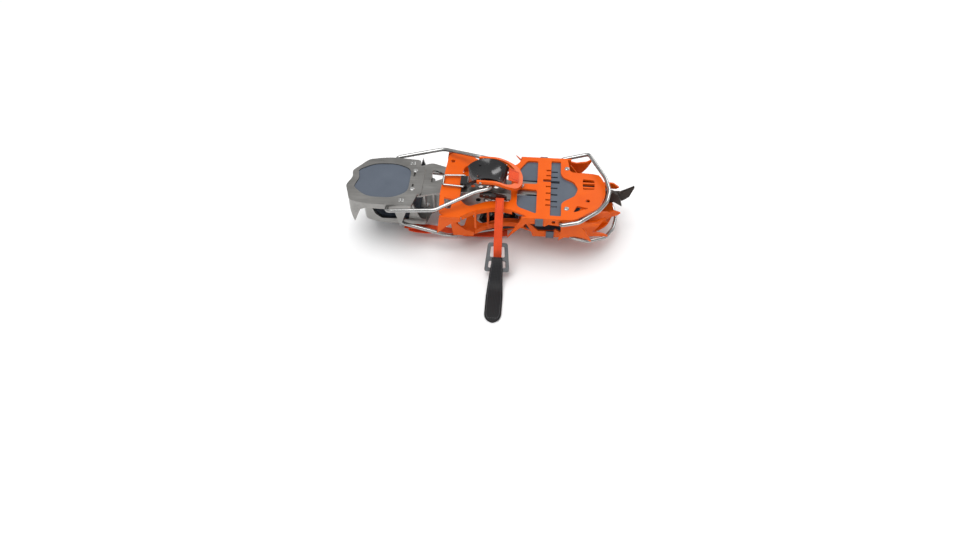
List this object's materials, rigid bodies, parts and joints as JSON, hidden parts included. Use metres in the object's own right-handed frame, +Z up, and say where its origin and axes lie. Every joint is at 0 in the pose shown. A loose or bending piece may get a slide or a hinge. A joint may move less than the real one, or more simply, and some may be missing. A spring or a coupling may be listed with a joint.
{
  "type": "crampons",
  "caption": "Nested pair of technical crampons: painted front section with points, steel heel section, wire toe and heel bails, heel lever and strap.",
  "frame": {"origin": "centre of the pair's bounding box, on the floor that the lower crampon lies on", "axes": "+X towards the toes, +Y to the far side, +Z up, out of the upper crampon's boot side"},
  "size_m": [0.2986, 0.197, 0.0829],
  "materials": {
    "painted_orange": "satin powder coat",
    "dark_steel": "dark heat-treated steel",
    "bright_steel": "bright turned steel",
    "bail_wire": "drawn stainless wire",
    "heel_steel": "brushed stainless sheet",
    "slate_plastic": "smooth moulded plastic",
    "black_plastic": "glossy moulded plastic",
    "orange_plastic": "moulded plastic",
    "webbing": "woven webbing",
    "buckle_metal": "cast grey metal",
    "black_rubber": "textured rubber"
  },
  "bodies": {
    "lower_front": {"lower_front_frame": "painted_orange", "lower_front_point": "dark_steel", "lower_point_bolt": "bright_steel", "lower_point_nut": "bright_steel", "lower_front_antiball": "slate_plastic", "lower_antiball_rivets": "bright_steel", "lower_bar_bolts": "bright_steel", "lower_clip_base": "black_plastic", "lower_edge_clips": "slate_plastic"},
    "lower_toe_bail_swing": {"lower_toe_bail": "bail_wire"},
    "lower_clip": {"lower_length_clip": "bail_wire"},
    "lower_heel": {"lower_heel_frame": "heel_steel", "lower_linking_bar": "heel_steel", "lower_bridge_rivets": "bright_steel", "lower_heel_antiball": "slate_plastic", "lower_heel_clips": "bright_steel"},
    "lower_heel_bail_swing": {"lower_heel_bail": "bail_wire", "lower_strap_hanger": "black_plastic"},
    "lower_strap_swing": {"lower_strap": "webbing"},
    "lower_lever": {"lower_heel_lever": "black_plastic", "lower_lever_barrel": "bright_steel", "lower_latch_pin": "bright_steel"},
    "lower_screw": {"lower_height_screw": "bright_steel"},
    "lower_latch": {"lower_latch_loop": "orange_plastic", "lower_latch_webbing": "webbing"},
    "lower_tail": {"lower_buckle": "buckle_metal", "lower_pull_tab": "black_rubber"},
    "upper_front": {"upper_front_frame": "painted_orange", "upper_front_point": "dark_steel", "upper_point_bolt": "bright_steel", "upper_point_nut": "bright_steel", "upper_front_antiball": "slate_plastic", "upper_antiball_rivets": "bright_steel", "upper_bar_bolts": "bright_steel", "upper_clip_base": "black_plastic", "upper_edge_clips": "slate_plastic"},
    "upper_toe_bail_swing": {"upper_toe_bail": "bail_wire"},
    "upper_clip": {"upper_length_clip": "bail_wire"},
    "upper_heel": {"upper_heel_frame": "heel_steel", "upper_linking_bar": "heel_steel", "upper_bridge_rivets": "bright_steel", "upper_heel_antiball": "slate_plastic", "upper_heel_clips": "bright_steel"},
    "upper_heel_bail_swing": {"upper_heel_bail": "bail_wire", "upper_strap_hanger": "black_plastic"},
    "upper_strap_swing": {"upper_strap": "webbing"},
    "upper_lever": {"upper_heel_lever": "black_plastic", "upper_lever_barrel": "bright_steel", "upper_latch_pin": "bright_steel"},
    "upper_screw": {"upper_height_screw": "bright_steel"},
    "upper_latch": {"upper_latch_loop": "orange_plastic", "upper_latch_webbing": "webbing"},
    "upper_tail": {"upper_buckle": "buckle_metal", "upper_pull_tab": "black_rubber"}
  },
  "joints": [
    {"name": "pair_lift", "type": "slide", "parent": "lower_front", "child": "upper_front", "axis": [0, 0, 1], "range_m": [0, 0.12]},
    {"name": "lower_toe_bail_hinge", "type": "hinge", "parent": "lower_front", "child": "lower_toe_bail_swing", "pos_m": [0.08425, 0.04697, 0.0269], "axis": [0, 1, 0], "range_deg": [0, 100]},
    {"name": "lower_clip_hinge", "type": "hinge", "parent": "lower_front", "child": "lower_clip", "pos_m": [-0.01575, 0.04797, 0.0199], "axis": [0, -1, 0], "range_deg": [0, 60]},
    {"name": "lower_length_slide", "type": "slide", "parent": "lower_front", "child": "lower_heel", "axis": [-1, 0, 0], "range_m": [0, 0.014]},
    {"name": "lower_heel_bail_hinge", "type": "hinge", "parent": "lower_heel", "child": "lower_heel_bail_swing", "pos_m": [-0.09175, 0.04697, 0.0269], "axis": [0, 1, 0], "range_deg": [0, 115]},
    {"name": "lower_lever_hinge", "type": "hinge", "parent": "lower_heel_bail_swing", "child": "lower_lever", "pos_m": [0.01325, 0.04697, 0.0071], "axis": [0, 1, 0], "range_deg": [0, 150]},
    {"name": "lower_screw_spin", "type": "hinge", "parent": "lower_lever", "child": "lower_screw", "pos_m": [0.01725, 0.04697, 0.0143], "axis": [0, 1, 0], "continuous": true},
    {"name": "lower_latch_hinge", "type": "hinge", "parent": "lower_lever", "child": "lower_latch", "pos_m": [0.00225, 0.04697, 0.0027], "axis": [0, 1, 0], "range_deg": [0, 100]},
    {"name": "lower_strap_hang", "type": "hinge", "parent": "lower_heel_bail_swing", "child": "lower_strap_swing", "pos_m": [0.01825, 0.02197, 0.0059], "axis": [0, 1, 0], "range_deg": [-115, 0]},
    {"name": "lower_strap_tail_hinge", "type": "hinge", "parent": "lower_strap_swing", "child": "lower_tail", "pos_m": [-0.09275, 0.02197, 0.0171], "axis": [-1, 0, 0], "range_deg": [0, 60]},
    {"name": "upper_toe_bail_hinge", "type": "hinge", "parent": "upper_front", "child": "upper_toe_bail_swing", "pos_m": [0.07225, 0.03447, 0.056], "axis": [0, -1, 0], "range_deg": [0, 100]},
    {"name": "upper_clip_hinge", "type": "hinge", "parent": "upper_front", "child": "upper_clip", "pos_m": [-0.02775, 0.03547, 0.063], "axis": [0, 1, 0], "range_deg": [0, 60]},
    {"name": "upper_length_slide", "type": "slide", "parent": "upper_front", "child": "upper_heel", "axis": [-1, 0, 0], "range_m": [0, 0.014]},
    {"name": "upper_heel_bail_hinge", "type": "hinge", "parent": "upper_heel", "child": "upper_heel_bail_swing", "pos_m": [-0.10375, 0.03447, 0.056], "axis": [0, -1, 0], "range_deg": [0, 115]},
    {"name": "upper_lever_hinge", "type": "hinge", "parent": "upper_heel_bail_swing", "child": "upper_lever", "pos_m": [0.00125, 0.03447, 0.0758], "axis": [0, -1, 0], "range_deg": [0, 150]},
    {"name": "upper_screw_spin", "type": "hinge", "parent": "upper_lever", "child": "upper_screw", "pos_m": [0.00525, 0.03447, 0.0686], "axis": [0, 1, 0], "continuous": true},
    {"name": "upper_latch_hinge", "type": "hinge", "parent": "upper_lever", "child": "upper_latch", "pos_m": [-0.00975, 0.03447, 0.0802], "axis": [0, -1, 0], "range_deg": [0, 100]},
    {"name": "upper_strap_hang", "type": "hinge", "parent": "upper_heel_bail_swing", "child": "upper_strap_swing", "pos_m": [0.01045, -0.01553, 0.067], "axis": [0, -1, 0], "range_deg": [-115, 0]},
    {"name": "upper_strap_tail_hinge", "type": "hinge", "parent": "upper_strap_swing", "child": "upper_tail", "pos_m": [0.01045, -0.02293, 0.0306], "axis": [-1, 0, 0], "range_deg": [0, 60]}
  ],
  "couplings": [
    {"joint": "lower_lever_hinge", "follows": "lower_heel_bail_hinge", "ratio": 1.3},
    {"joint": "lower_strap_hang", "follows": "lower_heel_bail_hinge", "ratio": -1},
    {"joint": "upper_lever_hinge", "follows": "upper_heel_bail_hinge", "ratio": 1.3},
    {"joint": "upper_strap_hang", "follows": "upper_heel_bail_hinge", "ratio": -1}
  ]
}
